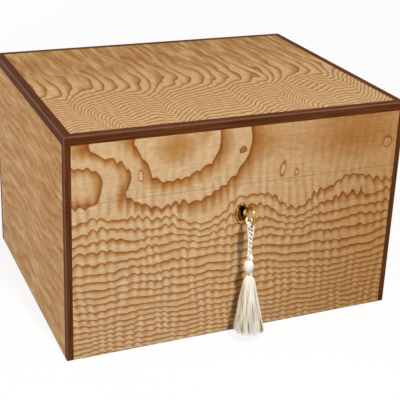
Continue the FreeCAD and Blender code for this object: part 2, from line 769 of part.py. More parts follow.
def main():
    os.makedirs("parts", exist_ok=True)
    for side, board in base_boards().items():
        save("base_" + side, board)
    for side, sheet in base_veneers().items():
        save("base_veneer_" + side, sheet)
    for corner, strip in corner_strips((0.0, base_top)).items():
        save("base_strip_" + corner, strip)
    panel_x, panel_y = inner_x + bottom_rebate, inner_y + bottom_rebate
    save("bottom_panel", block((-panel_x, panel_x), (-panel_y, panel_y), (felt_thickness, floor_z)))
    save("underside_felt", block((-panel_x, panel_x), (-panel_y, panel_y), (0.0, felt_thickness)))
    liners = mitred_frame(inner_x, inner_y, liner_thickness, (floor_z, lip_top), liner_round, liner_round)
    for side, liner in liners.items():
        save("liner_" + side, liner)
    floor_x, floor_y = inner_x - liner_thickness, inner_y - liner_thickness
    save("floor_board", block((-floor_x, floor_x), (-floor_y, floor_y), (floor_z, floor_z + lining_board)))

    for side, board in lid_boards().items():
        save("lid_" + side, board)
    for side, sheet in lid_veneers().items():
        save("lid_veneer_" + side, sheet)
    for corner, strip in corner_strips((lid_bottom, edging_bottom)).items():
        save("lid_strip_" + corner, strip)
    save("lid_top", lid_top())
    top_x, top_y = half_width - top_edging, half_depth - top_edging
    save("lid_veneer_top", block((-top_x, top_x), (-top_y, top_y), (height - veneer, height)))
    edging = mitred_frame(
        half_width, half_depth, top_edging, (edging_bottom, height), arris_radius, corners=True
    )
    for side, strip in edging.items():
        save("top_edging_" + side, strip)
    lining_x, lining_y = inner_x + lip_clearance, inner_y + lip_clearance
    lining_z = (lid_wall_top - lining_board, lid_wall_top)
    save("lid_lining", block((-lining_x, lining_x), (-lining_y, lining_y), lining_z))

    for name, centre_x in (("left", -hinge_x), ("right", hinge_x)):
        base_z = (base_top - hinge_leaf, base_top)
        lid_z = (lid_bottom, lid_bottom + hinge_leaf)
        save("hinge_base_leaf_" + name, hinge_leaf_shape(centre_x, base_z, 0, base_top, down))
        save("hinge_lid_leaf_" + name, hinge_leaf_shape(centre_x, lid_z, 1, lid_bottom, up))
        save("hinge_pin_" + name, hinge_pin(centre_x))
    save("hinge_base_screws", hinge_screws(base_top, down))
    save("hinge_lid_screws", hinge_screws(lid_bottom, up))

    save("lock_case", lock_case())
    save("lock_cap", lock_cap())
    save("lock_screws", lock_screws())
    save("lock_curtain", lock_curtain())
    save("lock_bolt", lock_bolt())
    save("strike_plate", strike())
    save("strike_screws", [screw(point, up) for point in selvedge_screw_points(lid_bottom)])
    save("escutcheon", escutcheon())
    save("escutcheon_pins", escutcheon_pins())
    save("key", key())
    save("tassel_cord", tassel_cord())
    save("tassel_head", tassel_head())
    save("tassel_skirt", tassel_skirt())
    ratio = bolt_travel / math.radians(key_turn)
    print("bolt travel", round(bolt_travel, 3), "per radian", round(ratio, 4))
    print("hinge axis", hinge_y, seam_z, "key axis", key_z, "bow", bow_y)


main()
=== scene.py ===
import math
import random
from functools import partial

import bmesh
import bpy
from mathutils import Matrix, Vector


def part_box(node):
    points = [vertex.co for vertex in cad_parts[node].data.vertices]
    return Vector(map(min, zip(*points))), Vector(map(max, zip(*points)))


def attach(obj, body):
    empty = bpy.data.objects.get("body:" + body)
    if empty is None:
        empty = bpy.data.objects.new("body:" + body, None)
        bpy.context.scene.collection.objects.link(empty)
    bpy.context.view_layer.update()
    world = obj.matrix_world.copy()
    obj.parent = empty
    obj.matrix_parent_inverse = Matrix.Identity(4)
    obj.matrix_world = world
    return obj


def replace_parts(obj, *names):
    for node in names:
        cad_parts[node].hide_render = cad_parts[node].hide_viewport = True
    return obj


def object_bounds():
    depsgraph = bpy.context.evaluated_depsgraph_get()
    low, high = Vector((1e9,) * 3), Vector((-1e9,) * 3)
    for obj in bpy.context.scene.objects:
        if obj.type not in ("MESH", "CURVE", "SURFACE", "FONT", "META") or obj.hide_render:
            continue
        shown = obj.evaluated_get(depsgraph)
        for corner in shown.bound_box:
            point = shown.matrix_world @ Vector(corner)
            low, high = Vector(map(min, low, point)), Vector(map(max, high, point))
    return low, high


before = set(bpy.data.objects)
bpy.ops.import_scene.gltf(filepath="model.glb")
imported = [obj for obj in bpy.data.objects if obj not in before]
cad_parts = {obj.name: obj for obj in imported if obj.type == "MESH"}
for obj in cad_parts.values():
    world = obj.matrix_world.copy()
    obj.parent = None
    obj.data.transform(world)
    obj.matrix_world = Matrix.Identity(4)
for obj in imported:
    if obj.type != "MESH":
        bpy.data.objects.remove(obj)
cadLow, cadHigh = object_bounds()
mm = 0.001
print("frame loaded,", len(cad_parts), "pieces")

# Places that several pieces share, taken from the frame
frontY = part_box("base_veneer_front")[0].y
keyLow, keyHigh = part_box("key")


# Node helpers

noiseSpan = (0.3, 0.7)    # a noise texture stays between these almost everywhere


def toLinear(hexColour):
    channels = [int(hexColour[i:i + 2], 16) / 255 for i in (1, 3, 5)]
    return tuple(c / 12.92 if c <= 0.04045 else ((c + 0.055) / 1.055) ** 2.4 for c in channels) + (1.0,)


def plug(tree, value, socket):
    # a node stands for its first output in use
    if isinstance(value, bpy.types.Node):
        value = next(output for output in value.outputs if output.enabled)
    if isinstance(value, bpy.types.NodeSocket):
        tree.links.new(value, socket)
    else:
        socket.default_value = value


def addNode(tree, kind, settings=None, inputs=()):
    # settings are a dictionary, or just the name of an operation
    # inputs are a list in the order of the node's sockets, or a dictionary by socket name
    node = tree.nodes.new("ShaderNode" + kind)
    if isinstance(settings, str):
        settings = {"operation": settings}
    for name, value in (settings or {}).items():
        if name == "stops":
            stops = node.color_ramp.elements
            while len(stops) < len(value):
                stops.new(1.0)
            for stop, (place, colour) in zip(stops, value):
                stop.position = place
                stop.color = toLinear(colour)
        else:
            setattr(node, name, value)
    sockets = [socket for socket in node.inputs if socket.enabled]
    byName = {socket.name: socket for socket in reversed(sockets)}
    pairs = inputs.items() if isinstance(inputs, dict) else enumerate(inputs)
    for key, value in pairs:
        plug(tree, value, byName[key] if isinstance(key, str) else sockets[key])
    return node


def startMaterial(name, shaderValues):
    # uniform values go straight on the shader's sockets
    material = bpy.data.materials.new(name)
    material.use_nodes = True
    shader = material.node_tree.nodes["Principled BSDF"]
    for socketName, value in shaderValues.items():
        shader.inputs[socketName].default_value = value
    return material, material.node_tree, shader


def millimetres(add):
    # object coordinates in millimetres, since every piece sits at the origin
    return add("VectorMath", "SCALE", {"Vector": add("TexCoord").outputs["Object"], "Scale": 1000.0})


def dress(nodeNames, material):
    for name in nodeNames:
        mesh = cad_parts[name].data
        mesh.materials.clear()
        mesh.materials.append(material)


# Figured ash veneer: all lengths in mm

frontAsh = {
    "along": "X", "up": "Z",
    "ringGap": 4.9,          # between rings at the foot of the front
    "ringGrowth": 0.05,      # how much the gap grows per mm of height
    "flatAbove": 144.5,      # above this the rings lie nearly flat in the sheet
    "flatSlope": -0.0012,    # rings per mm above it
    "lowest": -20.0,         # the ring count stops here, below the sheet
    "scallopPeriod": 9.4,    # from cusp to cusp of the quilted ripple
    "scallopWander": 46.0,
    "scallopHeights": (1.5, 3.6), "scallopFrom": 0.6,   # the ripple at the foot and in the lid
    "waveSize": (40.0, 40.0), "waveHeights": (8.4, 12.0),
    "contrast": 1.0, "fingers": 0.62, "mottle": 0.15,
    "fingersEnd": (150.0, 205.0), "fingersLeft": 0.15,  # the quilt's painted sheen fades to this share between these heights
    "mottleSize": (60.0, 9.0), "poreSize": (11.0, 0.9), "streakSize": (34.0, 2.6),
    "sags": (
        # centre x, height, half width, half height, mm that the rings sag there
        (-43.0, 132.0, 38.0, 40.0, 17.0),
        (60.0, 128.0, 34.0, 42.0, 17.0),
        (122.0, 164.0, 56.0, 42.0, -15.0),
        (112.0, 72.0, 80.0, 60.0, 7.0),
        (12.0, 146.0, 30.0, 22.0, -5.0),
    ),
    "hills": (
        # centre x, height, half width, half height, rings raised: loops, patches and eyes
        (-70.0, 208.0, 122.0, 98.0, 2.75),
        (-118.0, 188.0, 30.0, 28.0, -0.75),
        (-155.0, 180.0, 42.0, 34.0, -1.0),
        (-172.0, 222.0, 60.0, 34.0, 0.5),
        (-38.0, 222.0, 16.0, 24.0, 0.45),
        (-4.0, 197.0, 9.0, 9.0, -0.4),
        (-105.8, 182.3, 4.5, 9.0, 1.0),
        (42.4, 170.0, 6.5, 13.0, 1.1),
        (58.0, 165.0, 5.0, 8.0, 1.1),
        (161.0, 188.6, 7.0, 8.5, 1.1),
    ),
    "smoothHills": (
        # the same, for brown shades in the lid that the ripple doesn't reach
        (118.0, 200.0, 150.0, 64.0, 0.70),
        (40.0, 204.0, 34.0, 45.0, 0.16),
        (115.0, 238.0, 150.0, 34.0, 0.30),
    ),
    # the lacquer's tint, deepened across the sheet by painted shade: from and to in mm
    "tintAxis": "X", "tintFrom": (-40.0, "#FFFAF0"), "tintTo": (150.0, "#E2CCAA"),
}
topAsh = {
    "along": "X", "up": "Y",
    "acrossGap": 14.0,       # between lines towards the back, where they run nearly straight back
    "bend": 0.078, "lean": -0.064, "bendPlace": -30.0, "bendSoftness": 24.0,   # the turn towards the front
    "scallopPeriod": 66.0, "scallopWander": 90.0,
    "scallopReach": (-100.0, 10.0), "scallopHeights": (21.0, 2.0),             # from front to back
    "smallPeriod": 9.4, "smallWander": 30.0, "smallRipple": 0.45,
    "waveSize": (60.0, 90.0), "waveHeight": 15.0, "waveAside": -10.0,
    "bundleSize": (30.0, 95.0), "bundleShift": 34.0,                           # uneven gaps between lines
    "contrast": 1.0, "fadedContrast": 0.30, "fadeFrom": 8.0, "fadeTo": 48.0, "fingers": 0.22, "mottle": 0.16,
    "mottleSize": (9.0, 55.0), "poreSize": (0.9, 11.0), "streakSize": (2.6, 34.0),
    "tintAxis": "Y", "tintFrom": (-110.0, "#F2EAD6"), "tintTo": (110.0, "#E8DAAB"),
}
sideAsh = {
    "up": "Z",
    "ringGap": 13.0, "lean": 0.03, "waveSize": (134.4, 58.8), "waveHeight": 60.0,
    "scallopPeriod": 15.0, "scallopWander": 40.0, "scallopHeight": 0.8,
    "contrast": 0.24, "fingers": 0.12, "mottle": 0.30,
    "mottleSize": (60.0, 9.0), "poreSize": (11.0, 0.9), "streakSize": (34.0, 2.6),
    "tintAxis": "Z", "tintFrom": (30.0, "#FFFAE0"), "tintTo": (200.0, "#FFF5D2"),
}
# what every sheet shares: tones, the lacquer, and how the quilt strays, in mm or shares of its period
ashLook = {
    "pale": "#DBB991", "mid": "#C08C55", "brown": "#A4672F", "line": "#8A5220",
    # finger is the painted sheen's tone; gap is a tone of the mottled ground and also the brown painted shade beside
    # the fingers
    "finger": "#E5C9A6", "gap": "#A96D36", "plain": "#BA8650",
    "roughness": 0.42, "gloss": 0.03, "poreBump": 0.08,
    "drift": 1.7, "driftStretch": 2.2, "unevenSize": (2.4, 3.6),
    "unevenRange": (0.32, 0.68), "unevenHeights": (0.2, 1.35),
    "breakSize": (22.0, 30.0), "breakRange": (0.34, 0.60), "clearOfLine": (0.55, 0.95, 1.0, 0.3),
    "fingerWander": (26.0, 60.0), "fingerSwing": 4.0, "fingerStart": -0.2, "fingerFull": 0.9,
    "gapFull": -1.0, "gapShare": 0.5,
    "blotchSize": (5.0, 6.5), "poreShade": (0.90, 1.07), "streakShade": (0.95, 1.05), "blotchShade": (0.93, 1.07),
}


def unevenness(add, plane, sizes, detail=2.0, roughness=0.5):
    # how wood wanders, with the sizes in mm along the two directions of the sheet
    scaled = add("Mapping", None, {"Vector": plane, "Scale": (1 / sizes[0], 1 / sizes[1], 1)})
    return add("TexNoise", {"noise_dimensions": "2D"},
               {"Vector": scaled, "Scale": 1.0, "Detail": detail, "Roughness": roughness})


def addHills(add, plane, start, hills):
    # each hill is a soft round bump, so the rings close round it
    total = start
    for x, y, halfWidth, halfHeight, raised in hills:
        placed = add("Mapping", {"vector_type": "TEXTURE"},
                     {"Vector": plane, "Location": (x, y, 0), "Scale": (halfWidth, halfHeight, 1)})
        bump = add("TexGradient", {"gradient_type": "SPHERICAL"}, [placed])
        bell = add("MapRange", {"interpolation_type": "SMOOTHSTEP"}, [bump.outputs["Fac"], 0.0, 1.0, 0.0, raised])
        total = add("Math", "ADD", [bell, total])
    return total


def scallops(add, plane, across, period, wander):
    # rounded tops with cusps between them, unevenly spaced and unevenly high
    drift = unevenness(add, plane, (wander, wander * ashLook["driftStretch"]), 1.0)
    moved = add("Math", "MULTIPLY_ADD", [drift, period * ashLook["drift"], across])
    turns = add("Math", "MULTIPLY", [moved, math.pi / period])
    uneven = unevenness(add, plane, [period * size for size in ashLook["unevenSize"]], 1.0)
    height = add("MapRange", None, [uneven, *ashLook["unevenRange"], *ashLook["unevenHeights"]])
    tops = add("Math", "ABSOLUTE", [add("Math", "SINE", [turns])])
    return turns, add("Math", "MULTIPLY", [tops, height])


def frontRings(add, plane, settings):
    axes = add("SeparateXYZ", None, [plane])
    across, height = axes.outputs["X"], axes.outputs["Y"]
    share = add("MapRange", None, [height, 0.0, settings["flatAbove"], 0.0, 1.0])
    wave = unevenness(add, plane, settings["waveSize"], 2.0, 0.45)
    waveHeight = add("MapRange", None, [share, 0.0, 1.0, *settings["waveHeights"]])
    waveLift = add("Math", "MULTIPLY", [add("Math", "SUBTRACT", [wave, 0.5]), waveHeight])
    turns, ripple = scallops(add, plane, across, settings["scallopPeriod"], settings["scallopWander"])
    rippleHeight = add("MapRange", None, [share, settings["scallopFrom"], 1.0, *settings["scallopHeights"]])
    lifted = add("Math", "SUBTRACT", [height, add("Math", "MULTIPLY", [ripple, rippleHeight])])
    lifted = add("Math", "ADD", [lifted, waveLift])
    sagged = addHills(add, plane, lifted, settings["sags"])
    # the ring count is a logarithm of height up to flatAbove, and nearly level over it
    lower = add("Math", "MAXIMUM", [sagged, settings["lowest"]])
    lower = add("Math", "MINIMUM", [lower, settings["flatAbove"]])
    growth = settings["ringGrowth"]
    grown = add("Math", "MULTIPLY_ADD", [lower, growth / settings["ringGap"], 1.0])
    count = add("Math", "MULTIPLY", [add("Math", "LOGARITHM", [grown, math.e]), 1 / growth])
    above = add("Math", "SUBTRACT", [sagged, lower])
    count = add("Math", "MULTIPLY_ADD", [above, settings["flatSlope"], count])
    count = addHills(add, add("CombineXYZ", None, [across, lifted, 0.0]), count, settings["hills"])
    return addHills(add, plane, count, settings["smoothHills"]), turns


def topRings(add, plane, settings):
    # lines run nearly straight back, and turn aside towards the front in wide scallops
    axes = add("SeparateXYZ", None, [plane])
    across, back = axes.outputs["X"], axes.outputs["Y"]
    ripple = scallops(add, plane, across, settings["scallopPeriod"], settings["scallopWander"])[1]
    height = add("MapRange", None, [back, *settings["scallopReach"], *settings["scallopHeights"]])
    turns, smallRipple = scallops(add, plane, across, settings["smallPeriod"], settings["smallWander"])
    lifted = add("Math", "SUBTRACT", [back, add("Math", "MULTIPLY", [ripple, height])])
    lifted = add("Math", "MULTIPLY_ADD", [smallRipple, -settings["smallRipple"], lifted])
    wave = add("Math", "SUBTRACT", [unevenness(add, plane, settings["waveSize"], 1.0), 0.5])
    lifted = add("Math", "MULTIPLY_ADD", [wave, settings["waveHeight"], lifted])
    away = add("Math", "SUBTRACT", [lifted, settings["bendPlace"]])
    bent = add("Math", "SQRT", [add("Math", "MULTIPLY_ADD", [away, away, settings["bendSoftness"] ** 2])])
    count = add("Math", "MULTIPLY", [bent, settings["bend"]])
    count = add("Math", "MULTIPLY_ADD", [away, settings["lean"], count])
    shifted = add("Math", "MULTIPLY_ADD", [wave, settings["waveAside"], across])
    bundles = add("Math", "SUBTRACT", [unevenness(add, plane, settings["bundleSize"]), 0.5])
    shifted = add("Math", "MULTIPLY_ADD", [bundles, settings["bundleShift"], shifted])
    return add("Math", "MULTIPLY_ADD", [shifted, 1 / settings["acrossGap"], count]), turns


def sideRings(add, plane, settings):
    # plain sliced figure: long, nearly level waves
    axes = add("SeparateXYZ", None, [plane])
    across, height = axes.outputs["X"], axes.outputs["Y"]
    turns, ripple = scallops(add, plane, across, settings["scallopPeriod"], settings["scallopWander"])
    moved = add("VectorMath", "ADD", [plane, (settings["offset"], settings["offset"], 0.0)])
    wave = add("Math", "SUBTRACT", [unevenness(add, moved, settings["waveSize"], 3.0), 0.5])
    lifted = add("Math", "MULTIPLY_ADD", [wave, settings["waveHeight"], height])
    lifted = add("Math", "MULTIPLY_ADD", [across, settings["lean"], lifted])
    lifted = add("Math", "MULTIPLY_ADD", [ripple, -settings["scallopHeight"], lifted])
    return add("Math", "MULTIPLY", [lifted, 1 / settings["ringGap"]]), turns


def ringTones(add, place, settings, plane, count):
    # pale early wood that deepens to a thin brown line, over a ground with a soft mottle
    ring = add("Math", "FRACT", [count])
    tone = add("ValToRGB", {"stops": (
        (0.0, ashLook["mid"]), (0.035, ashLook["pale"]), (0.46, ashLook["pale"]),
        (0.76, ashLook["mid"]), (0.93, ashLook["brown"]), (0.985, ashLook["line"]))}, [ring])
    contrast = settings["contrast"]
    if "fadeFrom" in settings:
        contrast = add("MapRange", None, [
            place[settings["up"]], settings["fadeFrom"], settings["fadeTo"], contrast, settings["fadedContrast"]])
    mottle = settings["mottle"]
    ground = add("ValToRGB", {"stops": (
        (0.5 - mottle, ashLook["gap"]), (0.5, ashLook["plain"]), (0.5 + mottle, ashLook["pale"]))},
        [unevenness(add, plane, settings["mottleSize"], 3.0)])
    return ring, add("Mix", {"data_type": "RGBA"}, [contrast, ground, tone])


def addPaintedSheen(add, place, settings, plane, ring, turns, mixed):
    # painted sheen: the quilted light as pale fingers between the cusps, with brown painted shade beside them, broken
    # up over the sheet and clear of the lines
    between = add("MapRange", {"interpolation_type": "SMOOTHSTEP"}, [ring, *ashLook["clearOfLine"]])
    breaks = unevenness(add, plane, ashLook["breakSize"])
    breaks = add("MapRange", None, [breaks, *ashLook["breakRange"], 0.0, 1.0])
    breaks = add("Math", "MULTIPLY", [breaks, between])
    if "fingersEnd" in settings:
        fade = add("MapRange", None, [
            place[settings["up"]], *settings["fingersEnd"], 1.0, settings["fingersLeft"]])
        breaks = add("Math", "MULTIPLY", [breaks, fade])
    wander = unevenness(add, plane, ashLook["fingerWander"], 1.0)
    doubled = add("Math", "MULTIPLY", [turns, 2.0])
    finger = add("Math", "COSINE", [add("Math", "MULTIPLY_ADD", [wander, ashLook["fingerSwing"], doubled])])
    # pale painted sheen, then brown painted shade
    for tone, full, strength in (("finger", ashLook["fingerFull"], settings["fingers"]),
                                 ("gap", ashLook["gapFull"], settings["fingers"] * ashLook["gapShare"])):
        lit = add("MapRange", {"interpolation_type": "SMOOTHSTEP"}, [
            finger, ashLook["fingerStart"], full, 0.0, strength])
        mixed = add("Mix", {"data_type": "RGBA"}, [
            add("Math", "MULTIPLY", [lit, breaks]), mixed, toLinear(ashLook[tone])])
    return mixed


def ashMaterial(name, settings, ringsOf):
    # open-pored ash, sliced and lacquered: pale early wood, tan ring lines, and the silky quilted light as painted
    # sheen and shade
    material, tree, shader = startMaterial(name, {
        "Roughness": ashLook["roughness"], "Specular IOR Level": ashLook["gloss"]})
    add = partial(addNode, tree)
    place = add("SeparateXYZ", None, [millimetres(add)]).outputs
    plane = add("CombineXYZ", None, [place[settings["along"]], place[settings["up"]], 0.0])
    count, turns = ringsOf(add, plane, settings)
    ring, mixed = ringTones(add, place, settings, plane, count)
    mixed = addPaintedSheen(add, place, settings, plane, ring, turns, mixed)
    # pores: short dark dashes along the grain, 0.3 mm wide in real ash and drawn a little wider
    pores = unevenness(add, plane, settings["poreSize"], 3.0)
    streaks = unevenness(add, plane, settings["streakSize"])
    blotches = unevenness(add, plane, ashLook["blotchSize"], 3.0)
    shade = add("MapRange", None, [pores, *noiseSpan, *ashLook["poreShade"]])
    for uneven, shades in ((streaks, "streakShade"), (blotches, "blotchShade")):
        shade = add("Math", "MULTIPLY", [shade, add("MapRange", None, [uneven, *noiseSpan, *ashLook[shades]])])
    # the lacquer's tint, with painted shade that deepens it across the sheet
    (low, lowTintAndShade), (high, highTintAndShade) = settings["tintFrom"], settings["tintTo"]
    depth = add("MapRange", None, [place[settings["tintAxis"]], low, high, 0.0, 1.0])
    tintAndShade = add("Mix", {"data_type": "RGBA"}, [depth, toLinear(lowTintAndShade), toLinear(highTintAndShade)])
    mixed = add("Mix", {"data_type": "RGBA", "blend_type": "MULTIPLY"}, [1.0, mixed, tintAndShade])
    colour = add("VectorMath", "SCALE", {"Vector": mixed, "Scale": shade})
    plug(tree, colour, shader.inputs["Base Color"])
    bump = add("Bump", None, {"Strength": ashLook["poreBump"], "Distance": 0.2 * mm, "Height": pores})
    plug(tree, bump, shader.inputs["Normal"])
    return material


dress(["base_veneer_front", "lid_veneer_front"], ashMaterial("ashVeneerFront", frontAsh, frontRings))
dress(["lid_veneer_top"], ashMaterial("ashVeneerTop", topAsh, topRings))
for side, along, offset in (("left", "Y", 31.0), ("right", "Y", 420.0), ("back", "X", 880.0)):
    # the offset moves each sheet to another place in the same figure
    sideSheet = dict(sideAsh, along=along, offset=offset)
    dress(["base_veneer_" + side, "lid_veneer_" + side],
          ashMaterial("ashVeneer" + side.capitalize(), sideSheet, sideRings))
print("ash veneer done")


# Plain woods: each has its grain along the length of the piece, sizes in mm

plainWoods = {
    # walnut edging, lacquered: near-black brown with fine lines, and a painted highlight along its arrises
    "walnut": {"stops": ((0.30, "#42200F"), (0.48, "#5C3118"), (0.62, "#6E4122"), (0.75, "#82542F")),
               "grain": 0.8, "length": 45.0, "roughness": 0.30, "gloss": 0.0025,
               "arris": {"colour": "#A9897A", "share": 0.28, "reach": (-1.3, -0.5)}},
    # basswood core boards, sanded and bare
    "coreBoard": {"stops": ((0.32, "#B8966A"), (0.5, "#CDAE82"), (0.7, "#D9BE96")),
                  "grain": 2.2, "length": 90.0, "roughness": 0.7, "gloss": 0.15},
    # cedar lining, oiled: red-brown bands with soft edges
    "cedar": {"stops": ((0.30, "#8A4526"), (0.48, "#A85F38"), (0.68, "#C07A4C")),
              "grain": 2.6, "length": 120.0, "roughness": 0.55, "gloss": 0.15},
}


def paintArrisHighlight(add, arris, tone):
    # painted highlight: paler where two of the box's outer faces meet, for the light caught on the rounded arrises
    place = add("SeparateXYZ", None, [millimetres(add)]).outputs
    outward = [add("Math", "SUBTRACT", [add("Math", "ABSOLUTE", [place["X"]]), cadHigh.x / mm]),
               add("Math", "SUBTRACT", [add("Math", "ABSOLUTE", [place["Y"]]), -frontY / mm]),
               add("Math", "SUBTRACT", [place["Z"], cadHigh.z / mm])]
    nearX, nearY, nearZ = [add("MapRange", None, [away, *arris["reach"], 0.0, 1.0]) for away in outward]
    upper = add("Math", "MULTIPLY", [nearZ, add("Math", "MAXIMUM", [nearX, nearY])])
    highlit = add("Math", "MAXIMUM", [add("Math", "MULTIPLY", [nearX, nearY]), upper])
    return add("Mix", {"data_type": "RGBA"}, [
        add("Math", "MULTIPLY", [highlit, arris["share"]]), tone, toLinear(arris["colour"])])


def plainWood(name, settings, lengthAxis):
    material, tree, shader = startMaterial(name, {
        "Roughness": settings["roughness"], "Specular IOR Level": settings["gloss"]})
    add = partial(addNode, tree)
    sizes = [settings["length"] if axis == lengthAxis else settings["grain"] for axis in "XYZ"]
    grainMap = add("Mapping", None, {"Vector": millimetres(add), "Scale": [1 / size for size in sizes]})
    grain = add("TexNoise", None, {"Vector": grainMap, "Scale": 1.0, "Detail": 4.0, "Roughness": 0.6})
    tone = add("ValToRGB", {"stops": settings["stops"]}, [grain])
    # painted highlight along the arrises
    if "arris" in settings:
        tone = paintArrisHighlight(add, settings["arris"], tone)
    plug(tree, tone, shader.inputs["Base Color"])
    bump = add("Bump", None, {"Strength": 0.12, "Distance": 0.0002, "Height": grain})
    plug(tree, bump, shader.inputs["Normal"])
    return material


def dressWood(wood, lengthAxis, starts):
    names = [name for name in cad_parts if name.startswith(starts) and "veneer" not in name]
    dress(names, plainWood(wood + "Along" + lengthAxis, plainWoods[wood], lengthAxis))


dressWood("walnut", "Z", ("base_strip_", "lid_strip_"))
dressWood("walnut", "X", ("top_edging_front", "top_edging_back"))
dressWood("walnut", "Y", ("top_edging_left", "top_edging_right"))
dressWood("coreBoard", "X", ("base_front", "base_back", "lid_front", "lid_back", "lid_top", "bottom_panel"))
dressWood("coreBoard", "Y", ("base_left", "base_right", "lid_left", "lid_right"))
dressWood("cedar", "X", ("liner_front", "liner_back"))
dressWood("cedar", "Y", ("liner_left", "liner_right"))


# Cloth faces: sizes in mm. Real nap is finer, and is drawn coarse enough to show

cloths = {
    "suedeLining": {"sheen": 0.4, "brushedSize": 28.0, "napSize": 0.7, "napShare": 0.35,
                    "stops": ((0.45, "#33231A"), (0.68, "#4A3427"), (0.85, "#5A4233"))},
    "greenBaize": {"sheen": 0.25, "brushedSize": 28.0, "napSize": 0.7, "napShare": 0.35,
                   "stops": ((0.45, "#16301F"), (0.68, "#1F4029"), (0.85, "#2A4F35"))},
}


def clothMaterial(name):
    # short matt nap: the brushed patches catch the light a little differently
    settings = cloths[name]
    material, tree, shader = startMaterial(name, {
        "Roughness": 0.95, "Sheen Weight": settings["sheen"], "Sheen Roughness": 0.5})
    add = partial(addNode, tree)
    place = millimetres(add)
    brushed = add("TexNoise", None, {"Vector": place, "Scale": 1 / settings["brushedSize"], "Detail": 3.0})
    nap = add("TexNoise", None, {"Vector": place, "Scale": 1 / settings["napSize"], "Detail": 2.0})
    level = add("Math", "MULTIPLY_ADD", [nap, settings["napShare"], brushed])
    plug(tree, add("ValToRGB", {"stops": settings["stops"]}, [level]), shader.inputs["Base Color"])
    bump = add("Bump", None, {"Strength": 0.4, "Distance": 0.0003, "Height": nap})
    plug(tree, bump, shader.inputs["Normal"])
    return material


dress(["floor_board", "lid_lining"], clothMaterial("suedeLining"))
dress(["underside_felt"], clothMaterial("greenBaize"))
print("plain woods and cloths done")


# Mesh helpers

def newPiece(name, source, body, material):
    # source is a bmesh or curve data; the piece sits at the origin with its place in its mesh
    data = source
    if isinstance(source, bmesh.types.BMesh):
        data = bpy.data.meshes.new(name)
        bmesh.ops.recalc_face_normals(source, faces=source.faces)
        for face in source.faces:
            face.smooth = True
        source.to_mesh(data)
        source.free()
    data.materials.append(material)
    piece = bpy.data.objects.new(name, data)
    bpy.context.scene.collection.objects.link(piece)
    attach(piece, body)
    return piece


def turnedShape(bm, outline, centre, axis, steps):
    # outline is (radius, distance along the axis) from one end to the other, in mm
    side = Vector((1, 0, 0)) if abs(axis.x) < 0.5 else Vector((0, 0, 1))
    points = [centre + side * radius * mm + axis * along * mm for radius, along in outline]
    made = [bm.verts.new(point) for point in points]
    edges = [bm.edges.new(pair) for pair in zip(made, made[1:])]
    bmesh.ops.spin(bm, geom=made + edges, cent=centre, axis=axis, angle=2 * math.pi, steps=steps, use_merge=True)
    bmesh.ops.remove_doubles(bm, verts=bm.verts, dist=0.002 * mm)


def addSpline(curve, points, cyclic=False):
    # points are Vectors in metres; order and end points are set after the points are there
    spline = curve.splines.new("NURBS")
    spline.points.add(len(points) - 1)
    for slot, point in zip(spline.points, points):
        slot.co = (*point, 1.0)
    spline.order_u = 3
    spline.use_endpoint_u = not cyclic
    spline.use_cyclic_u = cyclic


def newCurve(name, radius, roundness, steps):
    curve = bpy.data.curves.new(name, "CURVE")
    curve.dimensions = "3D"
    curve.bevel_depth = radius * mm
    curve.bevel_resolution = roundness
    curve.resolution_u = steps
    curve.use_fill_caps = True
    return curve


# Brass: sizes in mm. Real rub marks are finer, and are drawn coarse enough to show

brassLooks = {
    "polishedBrass": {"bright": "#DDB158", "deep": "#6E4414", "cloudSize": 5.0, "rubSize": 1.4,
                      "roughness": (0.05, 0.15)},
    # painted shade and painted dark reflection darken the dish inside the rim, between these heights over the wood
    "shadedDishBrass": {"bright": "#D9AC52", "deep": "#7C5018", "cloudSize": 6.0, "rubSize": 1.4,
                       "roughness": (0.06, 0.18), "dish": (1.15, 1.8), "dishShadeTone": "#543410"},
    "hingeBrass": {"bright": "#D9B25C", "deep": "#A98038", "cloudSize": 16.0, "rubSize": 1.1,
                   "roughness": (0.18, 0.32)},
    "satinLockBrass": {"bright": "#C8A45A", "deep": "#9C7A3E", "cloudSize": 20.0, "rubSize": 0.8,
                       "roughness": (0.30, 0.45)},
}


def brassMaterial(name):
    # cast brass, buffed: a warm mirror with faint rub marks, soft clouds of deeper colour, and painted shade and dark
    # reflection in the escutcheon's dish
    settings = brassLooks[name]
    material, tree, shader = startMaterial(name, {"Metallic": 1.0})
    add = partial(addNode, tree)
    place = millimetres(add)
    # clouds from deep to bright colour: on the key and escutcheon these are painted dark and bright reflections, on
    # the hinges and lock a milder uneven tone
    cloud = add("TexNoise", None, {"Vector": place, "Scale": 1 / settings["cloudSize"], "Detail": 4.0})
    colour = add("ValToRGB", {"stops": ((0.35, settings["deep"]), (0.62, settings["bright"]))}, [cloud])
    # painted shade and painted dark reflection in the escutcheon's dish
    if "dish" in settings:
        low, high = settings["dish"]
        out = add("SeparateXYZ", None, [place]).outputs["Y"]
        dishShade = add("MapRange", None, [out, frontY / mm - high, frontY / mm - low, 0.0, 1.0])
        colour = add("Mix", {"data_type": "RGBA"}, [dishShade, colour, toLinear(settings["dishShadeTone"])])
    plug(tree, colour, shader.inputs["Base Color"])
    rub = add("TexNoise", None, {"Vector": place, "Scale": 1 / settings["rubSize"], "Detail": 3.0})
    plug(tree, add("MapRange", None, [rub, *noiseSpan, *settings["roughness"]]), shader.inputs["Roughness"])
    return material


polishedBrass = brassMaterial("polishedBrass")
dress([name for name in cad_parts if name.startswith("hinge_")], brassMaterial("hingeBrass"))
dress([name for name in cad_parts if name.startswith(("lock_", "strike_"))], brassMaterial("satinLockBrass"))
dress(["escutcheon_pins", "escutcheon", "key"], polishedBrass)

